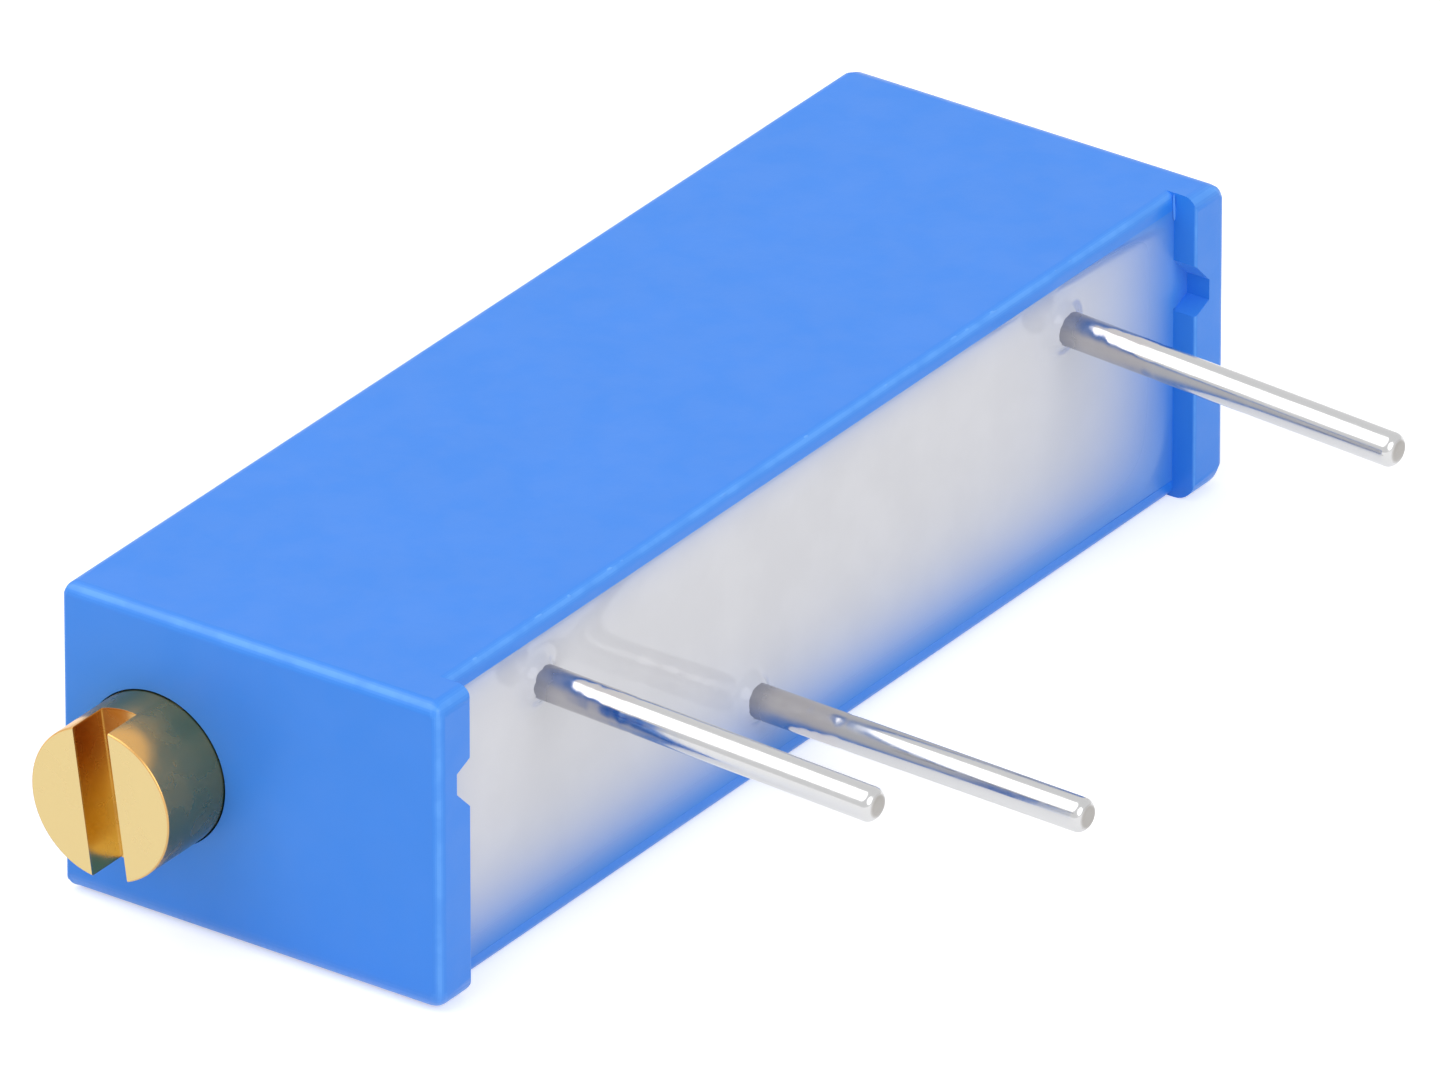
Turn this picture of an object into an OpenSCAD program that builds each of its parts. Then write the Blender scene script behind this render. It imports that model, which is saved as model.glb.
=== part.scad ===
// Multi-turn trimmer potentiometer, 3/4 inch rectangular style, lying on its broad side.
// X runs along the adjusting screw, the leads leave towards -Y, Z is up.
// The origin is the centre of the lower broad side of the case.

/* [Case] */
// Length of the case along the screw
case_l = 19.05; // [16:0.05:22]
// Case height, from its closed back to the seating feet
case_h = 6.35; // [5.8:0.05:8]
// Case thickness, the way it lies here
case_w = 4.83; // [4.4:0.01:5.8]
// Radius of the corners at the four long edges across the case
corner_r = 0.3; // [0.15:0.05:0.5]
// Radius of the other outside edges
edge_r = 0.15; // [0.05:0.01:0.2]
// Thickness of the closed back
back_t = 0.5; // [0.3:0.05:0.6]
// Thickness of the two broad walls at the mouth
side_t = 0.3; // [0.25:0.05:0.4]
// Thickness of the two end walls at the mouth
end_t = 0.75; // [0.6:0.05:0.9]
// How far the end walls stand proud of the broad walls, as seating feet
foot_h = 0.375; // [0.2:0.025:0.6]
// Width of the shoulder that the element plate seats on
ledge_w = 0.35; // [0.3:0.05:0.4]
// Width of the vent notch in each end wall
notch_w = 0.8; // [0.5:0.1:1.2]
// Depth of the vent notch into the end wall
notch_d = 0.34; // [0.2:0.02:0.4]
// Height of the vent notches above the middle of the case
notch_up = 0.95; // [0.5:0.05:1.1]

/* [Adjusting screw] */
// Diameter of the slotted head
head_d = 2.32; // [2.1:0.02:2.5]
// How far the head stands out of the case
head_out = 1.3; // [1:0.05:2]
// Width of the driver slot
slot_w = 0.6; // [0.4:0.05:0.7]
// Depth of the driver slot
slot_depth = 0.68; // [0.4:0.02:0.9]
// Angle of the driver slot from upright
slot_tilt = 8; // [0:1:90]
// Chamfer round the face of the head
head_chamfer = 0.08; // [0.02:0.01:0.15]
// Wall between the head's bore and the back of the case
head_wall = 0.35; // [0.25:0.01:0.35]
// Outside diameter of the drive thread
thread_d = 1.6; // [1.4:0.05:1.7]
// Depth of the drive thread
thread_depth = 0.28; // [0.2:0.01:0.3]
// Travel of the carriage for each turn of the screw
pitch = 0.8; // [0.7:0.05:0.9]
// Diameter of the plain journal at the far end
journal_d = 0.9; // [0.7:0.05:1]
// Length of the plain journal
journal_l = 0.65; // [0.5:0.05:0.8]
// Solid wall between the carriage's chamber and the far end, which holds the journal
far_wall = 2.0; // [1.9:0.05:2.4]

/* [Seal and retainer] */
// Length of the head that lies inside the case
head_in = 0.5; // [0.4:0.05:0.7]
// Width of the seal groove
groove_w = 0.55; // [0.5:0.05:0.6]
// Diameter at the bottom of the seal groove
groove_d = 1.44; // [1.3:0.02:1.5]
// Length of the collar behind the seal
collar_l = 0.25; // [0.2:0.05:0.3]
// Diameter of the neck that the clip straddles
neck_d = 1.1; // [0.9:0.05:1.1]
// Thickness of the retaining clip
clip_t = 0.25; // [0.2:0.05:0.3]
// Width of the retaining clip
clip_w = 2.3; // [2.1:0.05:2.4]
// Height of the clip above the screw's axis
clip_over = 0.35; // [0.2:0.05:0.45]
// Wall between the clip and the carriage's chamber
web_t = 0.3; // [0.25:0.05:0.4]

/* [Carriage and wiper] */
// Length of the carriage
carriage_l = 2.7; // [2.4:0.1:3]
// Room between the carriage and the element plate
leaf_room = 0.595; // [0.57:0.005:0.65]
// Thickness of the leaf spring
leaf_t = 0.08; // [0.06:0.01:0.1]
// Length of the leaf's clamped end
leaf_root = 0.5; // [0.45:0.05:0.6]
// Width of each spring arm, as a share of the chamber's width
arm_share = 0.108; // [0.09:0.002:0.118]
// Diameter of the staking posts, as a share of the arm's width
post_share = 0.8; // [0.6:0.05:0.85]
// Diameter of one contact wire, as a share of the arm's width
wire_share = 0.21; // [0.16:0.01:0.23]
// Contact wires in each brush
wire_count = 4; // [3:1:4]
// Radius of the curl at the end of a contact wire
curl_r = 0.11; // [0.09:0.01:0.13]
// Length of the weld between the wires and the arm
weld_l = 0.2; // [0.1:0.05:0.25]
// Height of the staking posts under the leaf spring
post_h = 0.2; // [0.12:0.02:0.24]

/* [Element] */
// Distance from the seating feet to the track face of the plate, as a share of the case's height
element_share = 0.3583; // [0.35:0.0001:0.37]
// Thickness of the ceramic plate
plate_t = 0.635; // [0.5:0.005:0.7]
// Width of each printed track, as a share of the chamber's width
track_share = 0.17; // [0.14:0.002:0.175]
// Distance between the middles of the two tracks, as a share of the chamber's width
apart_share = 0.252; // [0.245:0.001:0.26]
// Thickness of the printed films
film_t = 0.03; // [0.02:0.005:0.04]
// Size of a termination pad along the screw
pad_l = 1.0; // [0.95:0.05:1.1]

/* [Leads and potting] */
// Diameter of a lead
lead_d = 0.51; // [0.4:0.01:0.55]
// Length of a lead beyond the seating feet
lead_out = 5.08; // [3:0.01:8]
// Distance from each end of the case to its outer lead
lead_in = 3.175; // [3.1:0.005:3.6]
// Distance from the first lead to the middle one along the screw
lead_step = 5.08; // [4:0.01:6.35]
// Distance from a side of the chamber to the row of leads beside it, as a share of its width
row_share = 0.1402; // [0.138:0.0002:0.143]
// Diameter of a lead's nail head, as a share of the chamber's width
nail_share = 0.204; // [0.19:0.002:0.21]
// Thickness of the nail head
nail_t = 0.12; // [0.1:0.01:0.15]
// Width of the flattened anchor that holds a lead in the potting
anchor_w = 0.62; // [0.55:0.01:0.66]
// Thickness of the flattened anchor
anchor_t = 0.33; // [0.25:0.01:0.4]
// Depth of the anchor below the top of the potting's collar round the lead
anchor_in = 0.02; // [0.01:0.01:0.1]
// Chamfer at the tip of a lead
tip_chamfer = 0.07; // [0.02:0.01:0.1]
// Width of the solder ring round a nail head, as a share of the nail head's diameter
solder_share = 0.14; // [0.1:0.01:0.14]
// Distance from the seating feet to the middle of the potting
potting_deep = 0.675; // [0.5:0.025:0.9]
// Rise of the potting where it wets the walls
meniscus = 0.15; // [0.05:0.01:0.2]
// Rise of the potting where it wets a lead
lead_rise = 0.175; // [0.12:0.005:0.2]

/* [Clearances] */
// Radial running clearance of the screw
run_gap = 0.05; // [0.02:0.01:0.08]
// Clearance of the carriage in its chamber
slide_gap = 0.06; // [0.04:0.01:0.1]
// Clearance between thread and carriage, across and along the axis
mesh_gap = 0.07; // [0.06:0.005:0.09]
// Clearance of the element plate in its pocket
plate_gap = 0.05; // [0.02:0.01:0.08]
// Clearance between the wires and the track they slide on
brush_gap = 0.02; // [0.01:0.005:0.03]

/* [Hidden] */
$fn = 64;
eps = 0.01;
x_head_end = -case_l / 2;
x_far_end = case_l / 2;
y_back = case_h / 2;
y_feet = -case_h / 2;
y_mouth = y_feet + foot_h;
z_mid = case_w / 2;
y_track = y_feet + element_share * case_h;
y_plate_back = y_track - plate_t;

// Stations along the screw, from the head inwards
x_groove = x_head_end + head_in;
x_collar = x_groove + groove_w;
x_gland_end = x_collar + collar_l + run_gap;
x_clip = x_gland_end + run_gap;
x_chamber = x_clip + clip_t + run_gap + web_t;
x_neck_end = x_clip + clip_t + run_gap;

x_far_chamber = x_far_end - far_wall;
x_carriage = (x_chamber + x_far_chamber) / 2;
x_thread_end = x_far_chamber - run_gap;
x_journal_end = x_far_chamber + journal_l;
bearing_gap = 0.1;

head_r = head_d / 2;
bore_r = head_r + run_gap;
y_axis = y_back - head_wall - bore_r;
thread_r = thread_d / 2;
root_r = thread_r - thread_depth;
crest_share = 0.2;
base_share = 0.6;
steps_per_turn = 12;

chamber_w = case_w - 2 * (side_t + ledge_w);
pocket_w = case_w - 2 * side_t;
pocket_l = case_l - 2 * end_t;
plate_l = pocket_l - 2 * plate_gap;
plate_w = pocket_w - 2 * plate_gap;
cavity_top = y_back - back_t;

carriage_w = chamber_w - 2 * slide_gap;
carriage_top = cavity_top - slide_gap;
carriage_low = y_track + leaf_room;

// The printed layout, the spring arms and the nail heads follow the chamber's width
track_w = track_share * chamber_w;
track_apart = apart_share * chamber_w;
arm_w = arm_share * chamber_w;
post_d = post_share * arm_w;
wire_d = wire_share * arm_w;
nail_r = nail_share * chamber_w / 2;
solder_w = solder_share * 2 * nail_r;

z_track = z_mid + track_apart / 2;
z_collector = z_mid - track_apart / 2;
z_outer = z_mid + (1 / 2 - row_share) * chamber_w;
z_inner = z_mid - (1 / 2 - row_share) * chamber_w;
lead_span = case_l - 2 * lead_in;
x_lead = [-lead_span / 2, -lead_span / 2 + lead_step, lead_span / 2];
z_lead = [z_outer, z_inner, z_outer];
lead_r = lead_d / 2;
y_film = y_track + film_t;
y_tip = y_feet - lead_out;
y_potting = y_feet + potting_deep;
y_anchor = y_potting - lead_rise + anchor_in;
anchor_room = 0.15;
anchor_l = y_plate_back - anchor_room - y_anchor;
anchor_cover = 0.03;
track_l = lead_span - pad_l;
pad_edge = nail_r + solder_w;

// Each wire leaves the arm's tip level, turns down, and slides on the belly of its curl
wire_r = wire_d / 2;
y_wire = y_film + brush_gap + wire_r + 2 * curl_r;
leaf_inset = 0.05;
x_leaf = x_carriage - carriage_l / 2 + leaf_inset;
x_arm_tip = x_carriage - 2 * curl_r;
arm_drop = carriage_low - leaf_t - y_wire - wire_r;
arm_l = x_arm_tip - x_leaf - leaf_root;

// A bar with round corners, of size w by h, lying from z = 0 to l
module round_bar(w, h, l, r) {
    linear_extrude(height = l)
        union() {
            translate([-w / 2 + r, -h / 2]) square([w - 2 * r, h]);
            translate([-w / 2, -h / 2 + r]) square([w, h - 2 * r]);
            for (sx = [-1, 1])
                for (sy = [-1, 1])
                    translate([sx * (w / 2 - r), sy * (h / 2 - r)]) circle(r = r);
        }
}

// A box from one corner to the opposite one
module span(low, high) {
    translate(low) cube(high - low);
}

// A cylinder along X from x0 to x1 about the screw's axis
module on_axis(x0, x1, r) {
    translate([x0, y_axis, z_mid]) rotate([0, 90, 0]) cylinder(h = x1 - x0, r = r);
}

// A cylinder along Y from y0 up to y1
module along_y(x, z, y0, y1, r) {
    translate([x, y1, z]) rotate([90, 0, 0]) cylinder(h = y1 - y0, r = r);
}

// Cross section of a single-start thread, as points at [angle, radius]:
// an arc of crest, a flank, an arc of root and the other flank
function thread_section(r_root, r_crest, crest, base) =
    let (a = 180 * crest, b = 180 * base, n = max(2, ceil(2 * a * steps_per_turn / 360)),
         flank = [(a + b) / 2, (r_crest + r_root) / 2],
         polar = concat([for (i = [0 : n]) [-a + 2 * a * i / n, r_crest]], [flank],
                        [for (i = [0 : 3]) [b + (360 - 2 * b) * i / 3, r_root]],
                        [[360 - flank[0], flank[1]]]))
    [for (p = polar) p[1] * [cos(p[0]), sin(p[0])]];

// A right-hand thread along the screw's axis. For its mate it is grown by a gap,
// and drawn outside its true circle so that the flat facets keep that gap.
module thread(x0, x1, gap) {
    turns = (x1 - x0) / pitch;
    share = 2 * gap / pitch;
    outside = gap > 0 ? 1 / cos(180 / steps_per_turn) : 1;
    section = thread_section(root_r + gap, (thread_r + gap) * outside,
                             crest_share + share, base_share + share);
    translate([x0, y_axis, z_mid])
        rotate([0, 90, 0])
            rotate([0, 0, 360 * x0 / pitch])
                linear_extrude(height = x1 - x0, twist = -360 * turns,
                               slices = ceil(turns * steps_per_turn), segments = len(section))
                    polygon(section);
}

// Outside of the case: one block with every edge rounded
module case_block() {
    intersection() {
        translate([0, y_back, z_mid]) rotate([90, 0, 0]) round_bar(case_l, case_w, case_h, corner_r);
        translate([x_head_end, 0, z_mid]) rotate([90, 0, 90])
            round_bar(case_h, case_w, case_l, edge_r);
        round_bar(case_l, case_h, case_w, edge_r);
    }
}

// Trapezoid vent notch in one end wall, open to the pocket and the mouth
module vent_notch(side) {
    wall = side * pocket_l / 2;
    slope = notch_d / 2;
    translate([wall, y_plate_back, z_mid + notch_up])
        rotate([90, 0, 0])
            linear_extrude(height = y_plate_back - y_feet + eps)
                polygon([[-side * eps, -notch_w / 2], [side * notch_d, -notch_w / 2 + slope],
                         [side * notch_d, notch_w / 2 - slope], [-side * eps, notch_w / 2]]);
}

module case() {
    color("royalblue")
        difference() {
            case_block();
            // Mouth between the two seating feet
            span([-pocket_l / 2, y_feet - eps, -eps], [pocket_l / 2, y_mouth, case_w + eps]);
            // Pocket for the element plate and the potting
            span([-pocket_l / 2, y_feet - eps, z_mid - pocket_w / 2],
                 [pocket_l / 2, y_track, z_mid + pocket_w / 2]);
            // Chamber that the carriage runs in
            span([x_chamber, y_track - eps, z_mid - chamber_w / 2],
                 [x_far_chamber, cavity_top, z_mid + chamber_w / 2]);
            // Gland for the head and the seal, and the way in for the thread
            on_axis(x_head_end - eps, x_gland_end, bore_r);
            on_axis(x_gland_end - eps, x_chamber + eps, thread_r + run_gap);
            // Blind bearing for the journal
            on_axis(x_far_chamber - eps, x_journal_end + bearing_gap, journal_d / 2 + run_gap);
            // Slot that the retaining clip is pushed into
            span([x_clip, y_track - eps, z_mid - clip_w / 2],
                 [x_clip + clip_t, y_axis + clip_over, z_mid + clip_w / 2]);
            for (side = [-1, 1])
                vent_notch(side);
        }
}

module lead_screw() {
    color("darkgoldenrod")
        difference() {
            union() {
                on_axis(x_head_end - head_out + head_chamfer, x_groove, head_r);
                translate([x_head_end - head_out, y_axis, z_mid]) rotate([0, 90, 0])
                    cylinder(h = head_chamfer, r1 = head_r - head_chamfer, r2 = head_r);
                on_axis(x_groove - eps, x_collar + eps, groove_d / 2);
                on_axis(x_collar, x_collar + collar_l, head_r);
                on_axis(x_collar + collar_l - eps, x_neck_end + eps, neck_d / 2);
                thread(x_neck_end, x_thread_end, 0);
                on_axis(x_thread_end - eps, x_journal_end, journal_d / 2);
            }
            translate([x_head_end - head_out, y_axis, z_mid])
                rotate([-slot_tilt, 0, 0])
                    translate([-eps, -slot_w / 2, -head_d])
                        cube([slot_depth + eps, slot_w, 2 * head_d]);
        }
}

// Rubber ring, squeezed flat between the groove and the bore
module seal_ring() {
    inner = groove_d / 2;
    outer = bore_r - run_gap / 2;
    color("dimgray")
        translate([(x_groove + x_collar) / 2, y_axis, z_mid])
            rotate([0, 90, 0])
                rotate_extrude()
                    intersection() {
                        translate([(inner + outer) / 2, 0]) circle(d = groove_w - 2 * eps);
                        translate([inner, -groove_w / 2]) square([outer - inner, groove_w]);
                    }
}

// Sheet-metal fork that keeps the screw in the case
module retaining_clip() {
    mouth = neck_d + 2 * run_gap;
    low = y_track + plate_gap;
    color("silver")
        difference() {
            span([x_clip + eps, low, z_mid - clip_w / 2 + eps],
                 [x_clip + clip_t - eps, y_axis + clip_over - eps, z_mid + clip_w / 2 - eps]);
            on_axis(x_clip, x_clip + clip_t, mouth / 2);
            span([x_clip, y_axis, z_mid - mouth / 2], [x_clip + clip_t, y_back, z_mid + mouth / 2]);
        }
}

// Moulded nut block: the lower half of its bore is threaded and its arms flank the screw
module carriage() {
    channel_r = thread_r + mesh_gap;
    x0 = x_carriage - carriage_l / 2;
    x1 = x_carriage + carriage_l / 2;
    bevel = 0.28;
    color("antiquewhite") {
        difference() {
            span([x0, carriage_low, z_mid - carriage_w / 2], [x1, carriage_top, z_mid + carriage_w / 2]);
            thread(x0 - pitch / 4, x1 + pitch / 4, mesh_gap);
            span([x0 - eps, y_axis, z_mid - channel_r], [x1 + eps, carriage_top + eps, z_mid + channel_r]);
            // Bevels that clear the corners under the back of the case
            for (sz = [-1, 1])
                translate([x0 - eps, carriage_top, z_mid + sz * carriage_w / 2])
                    rotate([45, 0, 0])
                        translate([0, -bevel / 2, -bevel / 2]) cube([carriage_l + 2 * eps, bevel, bevel]);
        }
        for (z = [z_track, z_collector])
            along_y(x_leaf + leaf_root / 2, z, carriage_low - post_h, carriage_low + eps, post_d / 2);
    }
}

// Side of the leaf: a flat root and an arm that slopes down to the wires
module leaf_profile() {
    polygon([[0, 0], [leaf_root, 0], [leaf_root + arm_l, -arm_drop],
             [leaf_root + arm_l, -arm_drop - leaf_t], [leaf_root, -leaf_t], [0, -leaf_t]]);
}

// Stamped leaf: one root under the carriage and an arm over each track
module leaf_spring() {
    root_w = track_apart + arm_w;
    color("goldenrod")
        difference() {
            intersection() {
                translate([x_leaf, carriage_low, z_mid - root_w / 2])
                    linear_extrude(height = root_w) leaf_profile();
                union() {
                    span([x_leaf, y_track, z_mid - root_w / 2],
                         [x_leaf + leaf_root, carriage_low, z_mid + root_w / 2]);
                    for (z = [z_track, z_collector])
                        span([x_leaf, y_track, z - arm_w / 2], [x_arm_tip, carriage_low, z + arm_w / 2]);
                }
            }
            for (z = [z_track, z_collector])
                along_y(x_leaf + leaf_root / 2, z, y_track, carriage_low + eps, post_d / 2 + eps);
        }
}

// One bend of a wire in the plane of its curl: a turn of the given angle from a start angle
module wire_arc(x, y, from, turn) {
    translate([x, y, 0])
        rotate([0, 0, from])
            rotate_extrude(angle = turn, $fn = 32)
                translate([curl_r, 0]) circle(r = wire_r, $fn = 16);
}

// A comb of fine wires, welded under the end of an arm and curled to slide on the film
module brush(z) {
    pitch_z = (arm_w - wire_d) / (wire_count - 1);
    color("gold")
        for (i = [0 : wire_count - 1])
            translate([0, 0, z - arm_w / 2 + wire_r + i * pitch_z]) {
                translate([x_arm_tip - weld_l, y_wire, 0]) rotate([0, 90, 0])
                    cylinder(h = weld_l, r = wire_r, $fn = 16);
                wire_arc(x_arm_tip, y_wire - curl_r, 0, 90);
                wire_arc(x_arm_tip + 2 * curl_r, y_wire - curl_r, 180, 180);
            }
}

module track_brush() {
    brush(z_track);
}

module collector_brush() {
    brush(z_collector);
}

module element_plate() {
    color("ghostwhite")
        difference() {
            span([-plate_l / 2, y_plate_back, z_mid - plate_w / 2],
                 [plate_l / 2, y_track, z_mid + plate_w / 2]);
            for (i = [0 : 2])
                along_y(x_lead[i], z_lead[i], y_plate_back - eps, y_track + eps, lead_r + plate_gap);
        }
}

// A printed film with a hole for a lead
module film(low, high, lead) {
    difference() {
        span([low[0], y_track, low[1]], [high[0], y_film, high[1]]);
        along_y(x_lead[lead], z_lead[lead], y_track - eps, y_film + eps, lead_r + plate_gap);
    }
}

module resistive_track() {
    color("black")
        span([-track_l / 2, y_track, z_track - track_w / 2],
             [track_l / 2, y_film, z_track + track_w / 2]);
}

module collector_track() {
    color("silver")
        union() {
            span([-lead_span / 2, y_track, z_collector - track_w / 2],
                 [lead_span / 2, y_film, z_collector + track_w / 2]);
            film([x_lead[1] - pad_edge, z_inner - pad_edge],
                 [x_lead[1] + pad_edge, z_collector], 1);
        }
}

module start_pad() {
    color("silver")
        film([-track_l / 2 - pad_l, z_track - track_w / 2], [-track_l / 2, z_outer + pad_edge], 0);
}

module end_pad() {
    color("silver")
        film([track_l / 2, z_track - track_w / 2], [track_l / 2 + pad_l, z_outer + pad_edge], 2);
}

// Wire of a lead from its tip to the film: round, but flattened for a stretch in the potting
module lead_wire(i) {
    along_y(x_lead[i], z_lead[i], y_tip + tip_chamfer, y_anchor, lead_r);
    span([x_lead[i] - anchor_w / 2, y_anchor, z_lead[i] - anchor_t / 2],
         [x_lead[i] + anchor_w / 2, y_anchor + anchor_l, z_lead[i] + anchor_t / 2]);
    along_y(x_lead[i], z_lead[i], y_anchor + anchor_l, y_film + eps, lead_r);
}

// A round tinned lead with a nail head on the element plate
module lead(i) {
    color("lightgray")
        union() {
            along_y(x_lead[i], z_lead[i], y_film, y_film + nail_t, nail_r);
            lead_wire(i);
            translate([x_lead[i], y_tip + tip_chamfer, z_lead[i]]) rotate([90, 0, 0])
                cylinder(h = tip_chamfer, r1 = lead_r, r2 = lead_r - tip_chamfer);
        }
}

module start_lead() {
    lead(0);
}

module wiper_lead() {
    lead(1);
}

module end_lead() {
    lead(2);
}

// Solder fillet between a nail head and its pad
module solder(i) {
    color("gainsboro")
        translate([x_lead[i], y_film, z_lead[i]])
            rotate([-90, 0, 0])
                rotate_extrude()
                    difference() {
                        translate([nail_r, 0]) square([solder_w, nail_t]);
                        translate([nail_r + solder_w, nail_t]) scale([1, nail_t / solder_w])
                            circle(r = solder_w * 0.9);
                    }
}

module start_solder() {
    solder(0);
}

module wiper_solder() {
    solder(1);
}

module end_solder() {
    solder(2);
}

// Resin up to where it wets the walls, with its face hollowed to the middle height
module hollow_fill() {
    difference() {
        union() {
            span([-pocket_l / 2, y_potting - meniscus, z_mid - pocket_w / 2],
                 [pocket_l / 2, y_plate_back, z_mid + pocket_w / 2]);
            intersection() {
                for (side = [-1, 1])
                    vent_notch(side);
                span([-case_l, y_potting - meniscus, 0], [case_l, y_plate_back, case_w]);
            }
        }
        translate([0, y_potting - 2 * meniscus, z_mid])
            hull()
                for (sx = [-1, 1])
                    for (sz = [-1, 1])
                        translate([sx * (pocket_l / 2 - 2 * meniscus), 0,
                                   sz * (pocket_w / 2 - 2 * meniscus)])
                            sphere(r = 2 * meniscus, $fn = 24);
    }
}

// Collar of resin that has crept up a lead and covers its anchor
module collar(i) {
    top_r = norm([anchor_w, anchor_t]) / 2 + anchor_cover;
    foot_r = top_r + lead_rise;
    translate([x_lead[i], y_potting + eps, z_lead[i]])
        rotate([90, 0, 0])
            rotate_extrude()
                difference() {
                    square([foot_r, lead_rise + eps]);
                    translate([foot_r, lead_rise + eps]) circle(r = lead_rise, $fn = 32);
                }
}

// Cast resin that closes the mouth: its face climbs the walls and the leads
module potting() {
    color("gainsboro")
        difference() {
            union() {
                hollow_fill();
                for (i = [0 : 2])
                    collar(i);
            }
            for (i = [0 : 2])
                lead_wire(i);
        }
}

case();
lead_screw();
seal_ring();
retaining_clip();
carriage();
leaf_spring();
track_brush();
collector_brush();
element_plate();
resistive_track();
collector_track();
start_pad();
end_pad();
start_lead();
wiper_lead();
end_lead();
start_solder();
wiper_solder();
end_solder();
potting();
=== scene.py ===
import math

import bmesh
import bpy
import numpy as np
from mathutils import Matrix, Vector


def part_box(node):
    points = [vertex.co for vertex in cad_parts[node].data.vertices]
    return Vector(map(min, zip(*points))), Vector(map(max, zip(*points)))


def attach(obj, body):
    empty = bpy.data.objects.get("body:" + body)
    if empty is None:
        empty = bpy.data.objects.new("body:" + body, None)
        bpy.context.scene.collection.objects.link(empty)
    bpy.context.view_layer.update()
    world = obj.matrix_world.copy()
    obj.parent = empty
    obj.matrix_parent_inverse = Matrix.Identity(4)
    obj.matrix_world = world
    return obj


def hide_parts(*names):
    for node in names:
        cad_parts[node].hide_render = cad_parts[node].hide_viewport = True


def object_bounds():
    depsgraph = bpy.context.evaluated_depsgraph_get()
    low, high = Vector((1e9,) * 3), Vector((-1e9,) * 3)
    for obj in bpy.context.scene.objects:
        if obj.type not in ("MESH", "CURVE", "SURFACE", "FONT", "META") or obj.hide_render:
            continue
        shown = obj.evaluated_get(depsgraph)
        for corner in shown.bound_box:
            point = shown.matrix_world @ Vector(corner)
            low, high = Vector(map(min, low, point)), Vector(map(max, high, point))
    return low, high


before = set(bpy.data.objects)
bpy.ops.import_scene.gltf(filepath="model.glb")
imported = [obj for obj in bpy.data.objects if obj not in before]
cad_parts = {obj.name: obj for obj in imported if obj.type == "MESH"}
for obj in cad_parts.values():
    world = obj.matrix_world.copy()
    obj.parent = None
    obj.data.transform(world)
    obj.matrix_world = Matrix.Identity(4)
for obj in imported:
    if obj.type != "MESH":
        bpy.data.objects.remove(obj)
cad_low, cad_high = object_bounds()
MM = 0.001

# The case is one moulding of glass-filled thermoset plastic: a closed back, two broad walls and two
# end walls that stand proud of the mouth as seating feet. Each end wall has a vent notch, and the
# near one has the round gland that the screw's head turns in.

case_low, case_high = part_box("case")
plate_low, plate_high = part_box("element_plate")
screw_low, screw_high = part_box("lead_screw")

SIDE_WALL = 0.26 * MM
END_WALL = 0.75 * MM
FOOT = 0.375 * MM
BACK_WALL = 0.5 * MM
RIM_R = 0.16 * MM
FOOT_EDGE_R = 0.05 * MM
LEDGE = 0.35 * MM
EDGE_WIDEST = 0.36 * MM
NOTCH_DEPTH, NOTCH_HALF, NOTCH_UP = 0.34 * MM, 0.4 * MM, 0.95 * MM
x_pocket = case_high.x - END_WALL
z_pocket_low = case_low.z + SIDE_WALL
z_pocket_high = case_high.z - SIDE_WALL
y_mouth = case_low.y + FOOT
y_track = plate_high.y
y_plate_back = plate_low.y
z_mid = (case_low.z + case_high.z) / 2

HEAD_R = 1.16 * MM
CREST_R = 0.8 * MM
JOURNAL_R = 0.45 * MM
RUN_GAP = 0.015 * MM
BORE_R = HEAD_R + RUN_GAP
GLAND_EDGE = 0.006 * MM
INNER_GAP = 0.05 * MM
OVERLAP = 0.01 * MM
y_axis = (screw_low.y + screw_high.y) / 2
x_gland_end = -8.175 * MM
x_chamber = -7.525 * MM
x_far_chamber = 7.525 * MM

CASE_BLUE, PATCH_BLUE, WEAR_AND_HIGHLIGHT_BLUE = (0.025, 0.238, 0.85), (0.029, 0.244, 0.865), (0.12, 0.40, 1.0)


def solid(name, corners, faces):
    """A mesh piece from its corners and faces, with every face turned outwards."""
    mesh = bpy.data.meshes.new(name)
    mesh.from_pydata([tuple(c) for c in corners], [], faces)
    form = bmesh.new()
    form.from_mesh(mesh)
    bmesh.ops.remove_doubles(form, verts=form.verts, dist=1e-7)
    bmesh.ops.recalc_face_normals(form, faces=form.faces)
    form.to_mesh(mesh)
    form.free()
    piece = bpy.data.objects.new(name, mesh)
    bpy.context.scene.collection.objects.link(piece)
    return piece


def block(name, low, high):
    """A box between two opposite corners."""
    corners = [(x, y, z) for x in (low[0], high[0]) for y in (low[1], high[1]) for z in (low[2], high[2])]
    faces = [(0, 1, 3, 2), (4, 6, 7, 5), (0, 4, 5, 1), (2, 3, 7, 6), (0, 2, 6, 4), (1, 5, 7, 3)]
    return solid(name, corners, faces)


def turned(name, profile, sides):
    """A closed solid turned about the screw's axis from (x, radius) stations, both ends on the axis."""
    corners, faces = [], []
    for x, r in profile:
        for k in range(sides):
            a = 2 * math.pi * k / sides
            corners.append((x, y_axis + r * math.cos(a), z_mid + r * math.sin(a)))
    for i in range(len(profile) - 1):
        for k in range(sides):
            j = (k + 1) % sides
            faces.append((i * sides + k, i * sides + j, (i + 1) * sides + j, (i + 1) * sides + k))
    return solid(name, corners, faces)


def settle(piece):
    """Keep the piece's evaluated mesh and drop its modifiers."""
    graph = bpy.context.evaluated_depsgraph_get()
    mesh = bpy.data.meshes.new_from_object(piece.evaluated_get(graph))
    piece.modifiers.clear()
    piece.data = mesh
    return piece


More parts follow.
